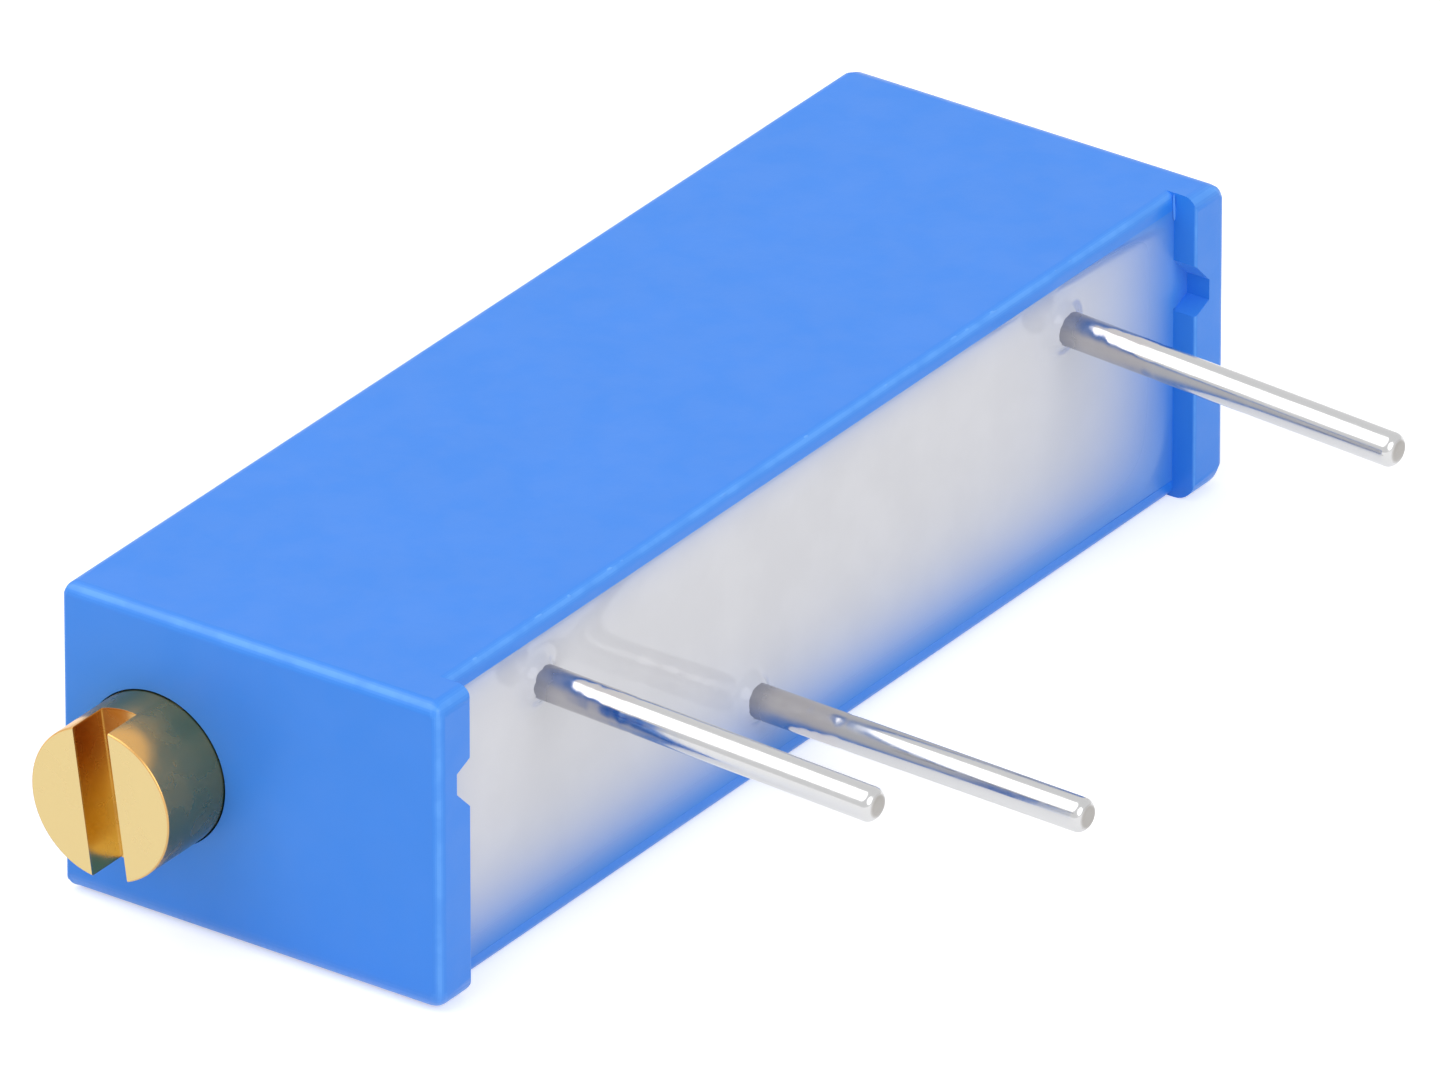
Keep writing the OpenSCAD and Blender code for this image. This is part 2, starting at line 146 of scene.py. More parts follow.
def carve(piece, *cutters):
    """Cut the other solids out of the piece, then throw them away."""
    for cutter in cutters:
        cut = piece.modifiers.new("cut", "BOOLEAN")
        cut.operation = "DIFFERENCE"
        cut.solver = "EXACT"
        cut.object = cutter
        settle(piece)
        bpy.data.objects.remove(cutter)
    return piece


def arc(centre, radius, start, end, steps=8):
    """Points of an arc between two angles in degrees."""
    turns = [math.radians(start + (end - start) * k / steps) for k in range(steps + 1)]
    return [(centre[0] + radius * math.cos(t), centre[1] + radius * math.sin(t)) for t in turns]


def prism(name, outline, start, end, place):
    """A prism through an outline; place() makes a corner of a point and of its place along the prism."""
    n = len(outline)
    corners = [place(u, v, w) for w in (start, end) for u, v in outline]
    sides = [(k, (k + 1) % n, n + (k + 1) % n, n + k) for k in range(n)]
    return solid(name, corners, [tuple(range(n)), tuple(range(2 * n - 1, n - 1, -1)), *sides])


def mouth_cutter():
    """The prism that cuts the mouth between the feet and rounds the rims of both broad walls."""
    below, above, front = case_low.z - FOOT, case_high.z + FOOT, case_low.y - FOOT
    outline = [(front, below), (y_mouth + RIM_R, below),
               *arc((y_mouth + RIM_R, case_low.z + RIM_R), RIM_R, 270, 180),
               *arc((y_mouth + RIM_R, case_high.z - RIM_R), RIM_R, 180, 90),
               (y_mouth + RIM_R, above), (front, above)]
    return prism("mouth", outline, -x_pocket, x_pocket, lambda y, z, x: (x, y, z))


def notch_cutter(side):
    """The prism that cuts one vent notch into the end wall on that side."""
    gentle, steep, clear = 0.34 * MM, 0.14 * MM, 0.1 * MM
    high, low = (gentle, steep) if side > 0 else (steep, gentle)
    outline = [(-clear, -NOTCH_HALF), (0, -NOTCH_HALF), (NOTCH_DEPTH, low - NOTCH_HALF),
               (NOTCH_DEPTH, NOTCH_HALF - high), (0, NOTCH_HALF), (-clear, NOTCH_HALF)]
    return prism("notch", outline, case_low.y - FOOT, y_plate_back,
                 lambda x, z, y: (side * (x_pocket + x), y, z_mid + NOTCH_UP + z))


def foot_edge_cutter(side):
    """The bar that rounds the upright inner edge of the foot on that side."""
    r, clear = FOOT_EDGE_R, 0.1 * MM
    outline = [*arc((r, r), r, 180, 270), (r, -clear), (-clear, -clear), (-clear, r)]
    return prism("foot_edge", outline, case_low.z - FOOT, case_high.z + FOOT,
                 lambda x, y, z: (side * (x_pocket + x), case_low.y + y, z))


def soften(piece, rounding, widest, segments, clamp=True):
    """Round the edges by a radius that rounding() gives for an edge's middle, direction and bend."""
    form = bmesh.new()
    form.from_mesh(piece.data)
    bmesh.ops.dissolve_limit(form, angle_limit=0.01, verts=form.verts, edges=form.edges)
    weight = form.edges.layers.float.new("bevel_weight_edge")
    for edge in form.edges:
        first, last = (v.co for v in edge.verts)
        edge[weight] = rounding((first + last) / 2, (last - first).normalized(), edge.is_convex) / widest
    form.to_mesh(piece.data)
    form.free()
    bevel = piece.modifiers.new("round", "BEVEL")
    bevel.limit_method = "WEIGHT"
    bevel.width = widest
    bevel.segments = segments
    bevel.use_clamp_overlap = clamp
    return settle(piece)


def block_rounding(middle, along, convex):
    """Radius of an outside edge: soft below and at the far end, crisp at the near end."""
    if abs(along.y) > 0.9:
        upper = 0.2 * MM if middle.x < 0 else 0.32 * MM
        return EDGE_WIDEST if middle.z < z_mid else upper
    if abs(along.x) > 0.9:
        front = 0.35 * MM if middle.z < z_mid else 0.22 * MM
        return 0.16 * MM if middle.y > y_mouth else front
    back = 0.07 * MM if middle.x < 0 else 0.34 * MM
    return 0.15 * MM if middle.y < y_mouth else back


case = block("moulded_case", case_low, case_high)
soften(case, block_rounding, EDGE_WIDEST, 8, False)
carve(
    case,
    mouth_cutter(),
    block("pocket", (-x_pocket, case_low.y - FOOT, z_pocket_low), (x_pocket, y_track, z_pocket_high)),
    notch_cutter(-1), notch_cutter(1), foot_edge_cutter(-1), foot_edge_cutter(1),
    turned("gland", [(case_low.x - MM, 0), (case_low.x - MM, BORE_R + GLAND_EDGE),
                     (case_low.x, BORE_R + GLAND_EDGE), (case_low.x + GLAND_EDGE, BORE_R),
                     (x_gland_end, BORE_R), (x_gland_end, 0)], 96),
    block("chamber", (x_chamber, y_track - OVERLAP, z_pocket_low + LEDGE),
          (x_far_chamber, case_high.y - BACK_WALL, z_pocket_high - LEDGE)),
    turned("passage", [(x_gland_end - OVERLAP, 0), (x_gland_end - OVERLAP, CREST_R + INNER_GAP),
                       (x_chamber + OVERLAP, CREST_R + INNER_GAP), (x_chamber + OVERLAP, 0)], 48),
    turned("bearing", [(x_far_chamber - OVERLAP, 0), (x_far_chamber - OVERLAP, JOURNAL_R + INNER_GAP),
                       (screw_high.x + 2 * INNER_GAP, JOURNAL_R + INNER_GAP), (screw_high.x + 2 * INNER_GAP, 0)], 48))


def flat_and_round(piece, sharp=35):
    """Shade the roundings smoothly and keep the flats flat."""
    for face in piece.data.polygons:
        face.use_smooth = True
    piece.data.set_sharp_from_angle(angle=math.radians(sharp))
    weigh = piece.modifiers.new("weigh", "WEIGHTED_NORMAL")
    weigh.keep_sharp = True
    return settle(piece)


flat_and_round(case)


class Skin:
    """A material whose pattern nodes read the piece's own Object coordinates."""

    def __init__(self, name, colour, roughness, metallic=0.0):
        self.material = bpy.data.materials.new(name)
        self.material.use_nodes = True
        self.tree = self.material.node_tree
        self.shader = self.tree.nodes["Principled BSDF"]
        self.place = self.tree.nodes.new("ShaderNodeTexCoord").outputs["Object"]
        self.shader.inputs["Base Color"].default_value = (*colour, 1)
        self.shader.inputs["Roughness"].default_value = roughness
        self.shader.inputs["Metallic"].default_value = metallic

    def link(self, source, target):
        self.tree.links.new(source, target)

    def math(self, operation, a, b=0.0, c=0.0):
        node = self.tree.nodes.new("ShaderNodeMath")
        node.operation = operation
        for socket, value in zip(node.inputs, (a, b, c)):
            if isinstance(value, (int, float)):
                socket.default_value = value
            else:
                self.link(value, socket)
        return node.outputs[0]

    def grain(self, size, detail=3.0, stretch=(1, 1, 1)):
        """Noise of about that size in metres, drawn out along the larger stretch."""
        turn = self.tree.nodes.new("ShaderNodeMapping")
        turn.inputs["Scale"].default_value = [1 / (size * s) for s in stretch]
        self.link(self.place, turn.inputs["Vector"])
        noise = self.tree.nodes.new("ShaderNodeTexNoise")
        noise.inputs["Scale"].default_value = 1.0
        noise.inputs["Detail"].default_value = detail
        noise.inputs["Roughness"].default_value = 0.5
        self.link(turn.outputs[0], noise.inputs["Vector"])
        return noise.outputs["Fac"]

    def ramp(self, value, low, high, to_low=0.0, to_high=1.0):
        """Map a value's range smoothly to another one."""
        node = self.tree.nodes.new("ShaderNodeMapRange")
        node.interpolation_type = "SMOOTHSTEP"
        for name, number in (("From Min", low), ("From Max", high), ("To Min", to_low), ("To Max", to_high)):
            node.inputs[name].default_value = number
        self.link(value, node.inputs["Value"])
        return node.outputs["Result"]

    def tint(self, share, colour, base=None):
        """Lay another colour over the base by that share."""
        mix = self.tree.nodes.new("ShaderNodeMix")
        mix.data_type = "RGBA"
        first, second = mix.inputs[6], mix.inputs[7]
        first.default_value = self.shader.inputs["Base Color"].default_value
        if base is not None:
            self.link(base, first)
        second.default_value = (*colour, 1)
        self.link(share, mix.inputs[0])
        self.link(mix.outputs[2], self.shader.inputs["Base Color"])
        return mix.outputs[2]

    def polish(self, value):
        self.link(value, self.shader.inputs["Roughness"])

    def relief(self, height, depth):
        """Raise the surface by that height pattern, depth metres at most."""
        bump = self.tree.nodes.new("ShaderNodeBump")
        bump.inputs["Strength"].default_value = 1.0
        bump.inputs["Distance"].default_value = depth
        old = self.shader.inputs["Normal"].links
        if old:
            self.link(old[0].from_socket, bump.inputs["Normal"])
        self.link(height, bump.inputs["Height"])
        self.link(bump.outputs[0], self.shader.inputs["Normal"])

    def axis(self, letter):
        split = self.tree.nodes.new("ShaderNodeSeparateXYZ")
        self.link(self.place, split.inputs[0])
        return split.outputs["XYZ".index(letter)]


def mark_edges(piece, name):
    """Write how far each corner of the mesh turns away from the main directions, up to 1 at 45 degrees."""
    most = 1 - math.sqrt(0.5)
    mark = piece.data.attributes.new(name, "FLOAT", "CORNER")
    for face in piece.data.polygons:
        for corner in face.loop_indices:
            co = piece.data.vertices[piece.data.loops[corner].vertex_index].co
            in_gland = math.hypot(co.y - y_axis, co.z - z_mid) < BORE_R + 0.03 * MM
            mark.data[corner].value = 0.0 if in_gland else (1 - max(abs(v) for v in face.normal)) / most


# The rounded edges get a lighter blue with flecks: partly edge wear, partly painted highlight along the edge lines.
mark_edges(case, "edge_wear_and_highlight")
moulded_blue = Skin("moulded_blue", CASE_BLUE, 0.36)
patchy = moulded_blue.tint(moulded_blue.ramp(moulded_blue.grain(1.6 * MM, 4), 0.35, 0.7), PATCH_BLUE)
edge_wear_and_highlight = moulded_blue.tree.nodes.new("ShaderNodeAttribute")
edge_wear_and_highlight.attribute_name = "edge_wear_and_highlight"
flecks = moulded_blue.ramp(moulded_blue.grain(0.5 * MM, 4), 0.4, 0.62, 0.6, 1.0)
moulded_blue.tint(moulded_blue.math("MULTIPLY", edge_wear_and_highlight.outputs["Fac"], flecks), WEAR_AND_HIGHLIGHT_BLUE, patchy)
moulded_blue.polish(moulded_blue.ramp(moulded_blue.grain(0.5 * MM, 4), 0.3, 0.7, 0.32, 0.42))
moulded_blue.relief(moulded_blue.grain(0.9 * MM, 3), 0.009 * MM)
moulded_blue.relief(moulded_blue.grain(0.045 * MM, 2), 0.0008 * MM)


def finish_with(piece, skin, body, slot, *nodes):
    """Give the piece its material, hang it on the body it rides on, and hide the frame's pieces it stands in for."""
    piece.data.materials.clear()
    piece.data.materials.append(skin.material)
    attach(piece, body)
    if nodes:
        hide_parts(*nodes)


finish_with(case, moulded_blue, "body", "case_plastic", "case")

# The screw is turned from free-cutting brass: a slotted head, a groove for the seal, a collar and a
# neck that the clip holds, then the drive thread and a plain journal in the far end wall.

SLOT_WIDTH = 0.6 * MM
SLOT_DEPTH = 0.68 * MM
SLOT_TILT = math.radians(8)
HEAD_EDGE_R = 0.03 * MM
GROOVE_R = 0.72 * MM
NECK_R = 0.55 * MM
JOURNAL_CHAMFER = 0.05 * MM
PITCH = 0.8 * MM
CORE_R = 0.52 * MM
x_head = screw_low.x
x_groove = -9.025 * MM
x_collar = -8.475 * MM
x_neck = -8.225 * MM
x_thread = -7.825 * MM
x_thread_end = 7.475 * MM


def driver_slot_cutter():
    """A thin block across the head, turned by the slot's tilt."""
    cutter = block("driver_slot", (x_head - MM, -SLOT_WIDTH / 2, -2 * HEAD_R),
                   (x_head + SLOT_DEPTH, SLOT_WIDTH / 2, 2 * HEAD_R))
    cutter.data.transform(Matrix.Translation((0, y_axis, z_mid)) @ Matrix.Rotation(-SLOT_TILT, 4, "X"))
    return cutter


shank = turned("turned_screw", [
    (x_head, 0), *arc((x_head + HEAD_EDGE_R, HEAD_R - HEAD_EDGE_R), HEAD_EDGE_R, 180, 90, 4),
    (x_groove - HEAD_EDGE_R, HEAD_R), (x_groove, HEAD_R - HEAD_EDGE_R), (x_groove, GROOVE_R), (x_collar, GROOVE_R),
    (x_collar, HEAD_R), (x_neck, HEAD_R), (x_neck, NECK_R), (x_thread, NECK_R), (x_thread, CORE_R),
    (x_thread_end, CORE_R), (x_thread_end, JOURNAL_R), (screw_high.x - JOURNAL_CHAMFER, JOURNAL_R),
    (screw_high.x, JOURNAL_R - JOURNAL_CHAMFER), (screw_high.x, 0)], 96)
carve(shank, driver_slot_cutter())


def slot_rounding(middle, along, convex):
    """The slot's edges are broken by tumbling; everything turned keeps its own edges."""
    across = (middle.y - y_axis) * math.cos(SLOT_TILT) - (middle.z - z_mid) * math.sin(SLOT_TILT)
    in_slot = abs(across) < SLOT_WIDTH * 0.55
    return HEAD_EDGE_R if convex and in_slot and middle.x < x_head + SLOT_DEPTH else 0.0


soften(shank, slot_rounding, HEAD_EDGE_R, 3)


class Tree:
    """A Geometry Nodes tree with named inputs, for pieces that repeat or follow a path."""

    def __init__(self, name, **inputs):
        self.group = bpy.data.node_groups.new(name, "GeometryNodeTree")
        face = self.group.interface
        face.new_socket("Geometry", in_out="OUTPUT", socket_type="NodeSocketGeometry")
        self.identifiers = {}
        for key, kind in inputs.items():
            self.identifiers[key] = face.new_socket(key, in_out="INPUT", socket_type="NodeSocket" + kind).identifier
        self.given = self.group.nodes.new("NodeGroupInput").outputs
        self.out = self.group.nodes.new("NodeGroupOutput")

    def add(self, kind, settings=None, **values):
        """A node with its settings, and its inputs set or linked by name."""
        node = self.group.nodes.new(kind)
        for key, value in (settings or {}).items():
            setattr(node, key, value)
        for key, value in values.items():
            wanted = key.replace("_", " ")
            socket = next(s for s in node.inputs if s.name == wanted and s.enabled)
            self.put(value, socket)
        return node

    def put(self, value, socket):
        if isinstance(value, bpy.types.NodeSocket):
            self.group.links.new(value, socket)
        elif isinstance(value, bpy.types.Node):
            self.group.links.new(next(s for s in value.outputs if s.enabled), socket)
        else:
            socket.default_value = value

    def calc(self, operation, *values):
        node = self.group.nodes.new("ShaderNodeMath")
        node.operation = operation
        for value, socket in zip(values, node.inputs):
            self.put(value, socket)
        return node

    def end(self, geometry, material):
        real = self.add("GeometryNodeRealizeInstances", Geometry=geometry)
        dressed = self.add("GeometryNodeSetMaterial", Geometry=real, Material=material)
        self.put(dressed, self.out.inputs["Geometry"])

    def grow(self, name, **values):
        """Run the tree once with these inputs and return the result as a plain mesh piece."""
        piece = bpy.data.objects.new(name, bpy.data.meshes.new(name))
        bpy.context.scene.collection.objects.link(piece)
        nodes = piece.modifiers.new("grow", "NODES")
        nodes.node_group = self.group
        for key, value in values.items():
            nodes[self.identifiers[key]] = value
        return settle(piece)


brass = Skin("turned_brass", (0.63, 0.49, 0.232), 0.24, 1.0)
brass.relief(brass.grain(0.06 * MM, 1, (1, 14, 14)), 0.0002 * MM)
brass.relief(brass.grain(1.2 * MM, 1), 0.004 * MM)
brass.polish(brass.ramp(brass.grain(0.5 * MM, 3), 0.3, 0.7, 0.2, 0.32))
from_axis = [brass.math("SUBTRACT", brass.axis("Y"), y_axis), brass.math("SUBTRACT", brass.axis("Z"), z_mid)]
radius = brass.math("SQRT", brass.math("ADD", *[brass.math("MULTIPLY", d, d) for d in from_axis]))
on_side = brass.ramp(radius, HEAD_R - 0.03 * MM, HEAD_R - 0.01 * MM)
behind_face = brass.ramp(brass.axis("X"), x_head + 0.01 * MM, x_head + 0.06 * MM)
# The head's side is a darker brown, partly tarnish and partly painted shade, and lighter and warmer towards the top as
# painted light.
side_tarnish_shade_and_light = brass.tint(on_side, (0.56, 0.34, 0.13))
lit_side = brass.math("MULTIPLY", on_side, brass.ramp(brass.axis("Z"), z_mid - 0.2 * MM, z_mid + 1.1 * MM))
side_tarnish_shade_and_light = brass.tint(lit_side, (0.74, 0.42, 0.14), side_tarnish_shade_and_light)
# Inside the slot the brass takes a deeper orange; its walls are darker brown towards the top, painted shade, and its
# floor is lighter, painted light.
in_slot = brass.math("MULTIPLY", behind_face, brass.math("SUBTRACT", 1.0, on_side))
slot_low = brass.tint(in_slot, (0.68, 0.47, 0.12), side_tarnish_shade_and_light)
slot_top = brass.ramp(brass.axis("Z"), z_mid - 0.5 * MM, z_mid + 0.8 * MM)
slot_shaded_walls = brass.tint(brass.math("MULTIPLY", in_slot, slot_top), (0.42, 0.17, 0.03), slot_low)
slot_floor = brass.ramp(brass.axis("X"), x_head + SLOT_DEPTH - 0.03 * MM, x_head + SLOT_DEPTH - 0.01 * MM)
brass.tint(brass.math("MULTIPLY", in_slot, slot_floor), (0.74, 0.54, 0.24), slot_shaded_walls)

thread_tree = Tree("drive_thread", Start="Float", Length="Float", Pitch="Float", Core="Float", Depth="Float",
                   Steps="Int")
turns = thread_tree.calc("DIVIDE", thread_tree.given["Length"], thread_tree.given["Pitch"])
spiral = thread_tree.add("GeometryNodeCurveSpiral", Resolution=thread_tree.given["Steps"], Rotations=turns,
                         Start_Radius=thread_tree.given["Core"], End_Radius=thread_tree.given["Core"],
                         Height=thread_tree.given["Length"])
upright = thread_tree.add("GeometryNodeSetCurveNormal", {"mode": "Z_UP"}, Curve=spiral)
ridge_root = 0.3
ridge_crest = 0.1
ridge_line = thread_tree.add("GeometryNodeCurvePrimitiveQuadrilateral", {"mode": "POINTS"})
for label, across, out in (("Point 1", -ridge_root, 0.2), ("Point 2", ridge_root, 0.2),
                           ("Point 3", ridge_crest, -1.0), ("Point 4", -ridge_crest, -1.0)):
    place = thread_tree.add("ShaderNodeCombineXYZ", X=thread_tree.calc("MULTIPLY", thread_tree.given["Depth"], out),
                            Y=thread_tree.calc("MULTIPLY", thread_tree.given["Pitch"], across))
    thread_tree.put(place, next(s for s in ridge_line.inputs if s.name == label and s.enabled))
ridge = thread_tree.add("GeometryNodeCurveToMesh", Curve=upright, Profile_Curve=ridge_line, Fill_Caps=True)
phase = thread_tree.calc("DIVIDE", thread_tree.given["Start"], thread_tree.given["Pitch"])
phase = thread_tree.calc("MULTIPLY", phase, 2 * math.pi)
turned_ridge = thread_tree.add("GeometryNodeTransform", Geometry=ridge,
                               Rotation=thread_tree.add("ShaderNodeCombineXYZ", Z=phase))
ridge_place = thread_tree.add("ShaderNodeCombineXYZ", X=thread_tree.given["Start"], Y=y_axis, Z=z_mid)
laid_ridge = thread_tree.add("GeometryNodeTransform", Geometry=turned_ridge, Rotation=(0, math.pi / 2, 0),
                             Translation=ridge_place)
thread_tree.end(laid_ridge, brass.material)
half_ridge = ridge_root * PITCH
thread = thread_tree.grow("drive_thread", Start=x_thread + half_ridge,
                          Length=x_thread_end - x_thread - 2 * half_ridge, Pitch=PITCH, Core=CORE_R,
                          Depth=CREST_R - CORE_R, Steps=24)
flat_and_round(thread, 40)
finish_with(thread, brass, "screw", "screw_brass", "lead_screw")
flat_and_round(shank, 35)
finish_with(shank, brass, "screw", "screw_brass", "lead_screw")

# Specks of flash stay on the moulding's sharp edges: thin plastic that squeezed out where the two
# halves of the mould met, and that tumbling has not quite taken off.

flash_tree = Tree("edge_flash", Start="Vector", End="Vector", Count="Int", Size="Float", Spread="Float",
                  Seed="Int")
edge_line = flash_tree.add("GeometryNodeCurvePrimitiveLine", Start=flash_tree.given["Start"],
                           End=flash_tree.given["End"])
specks = flash_tree.add("GeometryNodeCurveToPoints", {"mode": "COUNT"}, Curve=edge_line,
                        Count=flash_tree.given["Count"])
jitter = flash_tree.add("FunctionNodeRandomValue", {"data_type": "FLOAT_VECTOR"}, Min=(-1, -0.02, -0.04),
                        Max=(1, 0.04, 0), Seed=flash_tree.given["Seed"])
jitter = flash_tree.add("ShaderNodeVectorMath", {"operation": "SCALE"}, Vector=jitter, Scale=flash_tree.given["Spread"])
strewn = flash_tree.add("GeometryNodeSetPosition", Geometry=specks, Offset=jitter)
shape = flash_tree.add("FunctionNodeRandomValue", {"data_type": "FLOAT_VECTOR"}, Min=(0.3, 0.2, 0.8),
                       Max=(0.9, 0.5, 3.0), Seed=flash_tree.calc("ADD", flash_tree.given["Seed"], 7))
speck = flash_tree.add("GeometryNodeMeshIcoSphere", Radius=flash_tree.given["Size"], Subdivisions=2)
placed = flash_tree.add("GeometryNodeInstanceOnPoints", Points=strewn, Instance=speck, Scale=shape,
                        Rotation=specks.outputs["Rotation"])
real = flash_tree.add("GeometryNodeRealizeInstances", Geometry=placed)
# Each speck takes the lighter edge blue in full: partly wear, partly painted highlight.
pale = flash_tree.add("GeometryNodeStoreNamedAttribute", {"data_type": "FLOAT", "domain": "POINT"}, Geometry=real,
                      Name="edge_wear_and_highlight", Value=1.0)
flash_tree.end(pale, moulded_blue.material)

x_rim = x_pocket - 0.6 * MM
y_rim, z_rim = y_mouth + 0.09 * MM, case_high.z - 0.03 * MM
x_step, y_step, z_step = x_pocket - 0.015 * MM, y_mouth - 0.01 * MM, case_high.z - 0.17 * MM
for name, start, end, count, size, spread, seed in (
        ("rim_flash", (-x_rim, y_rim, z_rim), (x_rim, y_rim, z_rim), 30, 0.05 * MM, 0.6 * MM, 3),
        ("step_flash", (x_step, y_step, z_step), (x_step, y_step, z_step - 0.12 * MM), 2, 0.06 * MM, 0.01 * MM, 8)):
    flash = flash_tree.grow(name, Start=start, End=end, Count=count, Size=size, Spread=spread, Seed=seed)
    flat_and_round(flash, 60)
    finish_with(flash, moulded_blue, "body", "case_plastic", "case")

# The seal is a moulded rubber ring, squeezed between the screw's groove and the gland's bore. It lies
# hidden behind the head, as every piece down to the plate does, and keeps the frame's own shape.


def frame_piece(node, skin):
    """Dress a piece that keeps the frame's own shape."""
    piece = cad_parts[node]
    piece.data.materials.clear()
    piece.data.materials.append(skin.material)


rubber = Skin("seal_rubber", (0.10, 0.022, 0.012), 0.55)
rubber.polish(rubber.ramp(rubber.grain(0.1 * MM), 0.3, 0.7, 0.5, 0.65))
frame_piece("seal_ring", rubber)

# The retaining clip is a fork stamped from steel sheet. It is pushed into its slot in the case and
# straddles the screw's neck, so that the screw turns but can't leave.

steel = Skin("stamped_steel", (0.62, 0.62, 0.60), 0.3, 1.0)
steel.relief(steel.grain(0.03 * MM, 2, (1, 12, 1)), 0.001 * MM)
frame_piece("retaining_clip", steel)

# The carriage is a block moulded in nylon. The lower half of its bore is the nut that the screw
# drives, and two posts below it are staked through the spring.

nylon = Skin("carriage_nylon", (0.80, 0.76, 0.63), 0.45)
nylon.relief(nylon.grain(0.08 * MM), 0.001 * MM)
frame_piece("carriage", nylon)

# The spring is bent from thin copper-alloy strip, with one arm over each film. A comb of fine
# precious-metal wires is welded under the tip of each arm, and slides on its film.

spring = Skin("spring_strip", (0.78, 0.62, 0.34), 0.22, 1.0)
spring.relief(spring.grain(0.03 * MM, 2, (14, 1, 1)), 0.0006 * MM)
frame_piece("leaf_spring", spring)

wire = Skin("contact_wire", (0.86, 0.80, 0.66), 0.15, 1.0)
wire.polish(wire.ramp(wire.grain(0.05 * MM), 0.3, 0.7, 0.1, 0.22))
for brush in ("track_brush", "collector_brush"):
    frame_piece(brush, wire)

# The element plate is fired ceramic, laid on the case's ledges. The track is a resistive film printed
# and fired on it, and the collector and both ends are conductor films.

ceramic = Skin("fired_ceramic", (0.84, 0.84, 0.80), 0.6)
ceramic.relief(ceramic.grain(0.04 * MM), 0.0015 * MM)
frame_piece("element_plate", ceramic)

track = Skin("resistive_film", (0.03, 0.03, 0.032), 0.4)
track.polish(track.ramp(track.grain(0.08 * MM), 0.3, 0.7, 0.32, 0.5))
frame_piece("resistive_track", track)

silver = Skin("conductor_film", (0.60, 0.58, 0.54), 0.42, 0.8)
silver.relief(silver.grain(0.05 * MM), 0.001 * MM)
for pad in ("collector_track", "start_pad", "end_pad"):
    frame_piece(pad, silver)

# Three round copper leads, hot tinned. Each is headed like a nail and soldered to the plate, passes
# through the potting, and was dipped to a line a little way below the case.

LEAD_R = 0.255 * MM
LEAD_OUT = 5.08 * MM
DIP_FROM_CASE = 1.4 * MM
DIP_STEP, DIP_WIDTH = 0.006 * MM, 0.06 * MM
TIP_ROUND = 0.15 * MM

tin = Skin("hot_tin", (0.59, 0.59, 0.595), 0.12, 1.0)
tin.relief(tin.grain(0.5 * MM, 2, (1, 3, 1)), 0.006 * MM)
cut_end = tin.ramp(tin.axis("Y"), case_low.y - LEAD_OUT + 0.004 * MM, case_low.y - LEAD_OUT + 0.03 * MM, 1.0, 0.0)
dipped = tin.ramp(tin.axis("Y"), y_mouth - DIP_FROM_CASE - 0.2 * MM, y_mouth - DIP_FROM_CASE + 0.3 * MM)
# Between the dip line and the case the tin is a little darker and warmer: partly the dip's own tone, partly painted
# shade.
dip_tone_and_root_shade = tin.tint(dipped, (0.58, 0.56, 0.565))
# A dark ring where each lead enters the resin is painted shade.
at_root = tin.ramp(tin.axis("Y"), y_mouth - 0.35 * MM, y_mouth + 0.1 * MM)
dip_tone_and_root_shade = tin.tint(at_root, (0.40, 0.40, 0.44), dip_tone_and_root_shade)
tin.tint(cut_end, (0.38, 0.365, 0.35), dip_tone_and_root_shade)
tin.relief(tin.math("MULTIPLY", dipped, tin.grain(0.35 * MM, 1)), 0.022 * MM)
dulled = tin.math("ADD", tin.math("MULTIPLY", cut_end, 0.3), tin.math("MULTIPLY", at_root, 0.2))
tin.polish(tin.math("ADD", tin.ramp(tin.grain(0.2 * MM, 4), 0.35, 0.75, 0.13, 0.22), dulled))

lead_tree = Tree("lead", X="Float", Z="Float", Top="Float", Tip="Float", Radius="Float", Tip_Round="Float",
                 Dip="Float", Dip_Step="Float", Lean="Float")
given = lead_tree.given
line = lead_tree.add("GeometryNodeCurvePrimitiveLine", Start=(0, 0, 0), End=(0, -1, 0))
beads = lead_tree.add("GeometryNodeResampleCurve", Curve=line, Count=180)
share = lead_tree.add("GeometryNodeSplineParameter").outputs["Factor"]
left = lead_tree.calc("POWER", lead_tree.calc("SUBTRACT", 1.0, share), 2.5)
y_here = lead_tree.add("ShaderNodeMix", {"data_type": "FLOAT"}, Factor=left, A=given["Tip"], B=given["Top"])
free_run = lead_tree.calc("MAXIMUM", lead_tree.calc("SUBTRACT", y_mouth, y_here), 0.0)
z_here = lead_tree.calc("SUBTRACT", given["Z"], lead_tree.calc("MULTIPLY", free_run, given["Lean"]))
drawn = lead_tree.add("GeometryNodeSetPosition", Geometry=beads,
                      Position=lead_tree.add("ShaderNodeCombineXYZ", X=given["X"], Y=y_here, Z=z_here))
y_now = lead_tree.add("ShaderNodeSeparateXYZ", Vector=lead_tree.add("GeometryNodeInputPosition")).outputs["Y"]
to_tip = lead_tree.calc("SUBTRACT", y_now, given["Tip"])
tip_share = lead_tree.add("ShaderNodeMapRange", Value=to_tip, From_Min=0.0, From_Max=given["Tip_Round"])
short = lead_tree.calc("SUBTRACT", 1.0, tip_share)
quarter = lead_tree.calc("SQRT", lead_tree.calc("SUBTRACT", 1.0, lead_tree.calc("MULTIPLY", short, short)))
round_off = lead_tree.calc("SUBTRACT", 1.0, quarter)
from_dip = lead_tree.calc("DIVIDE", lead_tree.calc("SUBTRACT", y_now, given["Dip"]), DIP_WIDTH)
bead = lead_tree.calc("EXPONENT", lead_tree.calc("MULTIPLY", lead_tree.calc("MULTIPLY", from_dip, from_dip), -1.0))
radius = lead_tree.calc("SUBTRACT", given["Radius"], lead_tree.calc("MULTIPLY", round_off, given["Tip_Round"]))
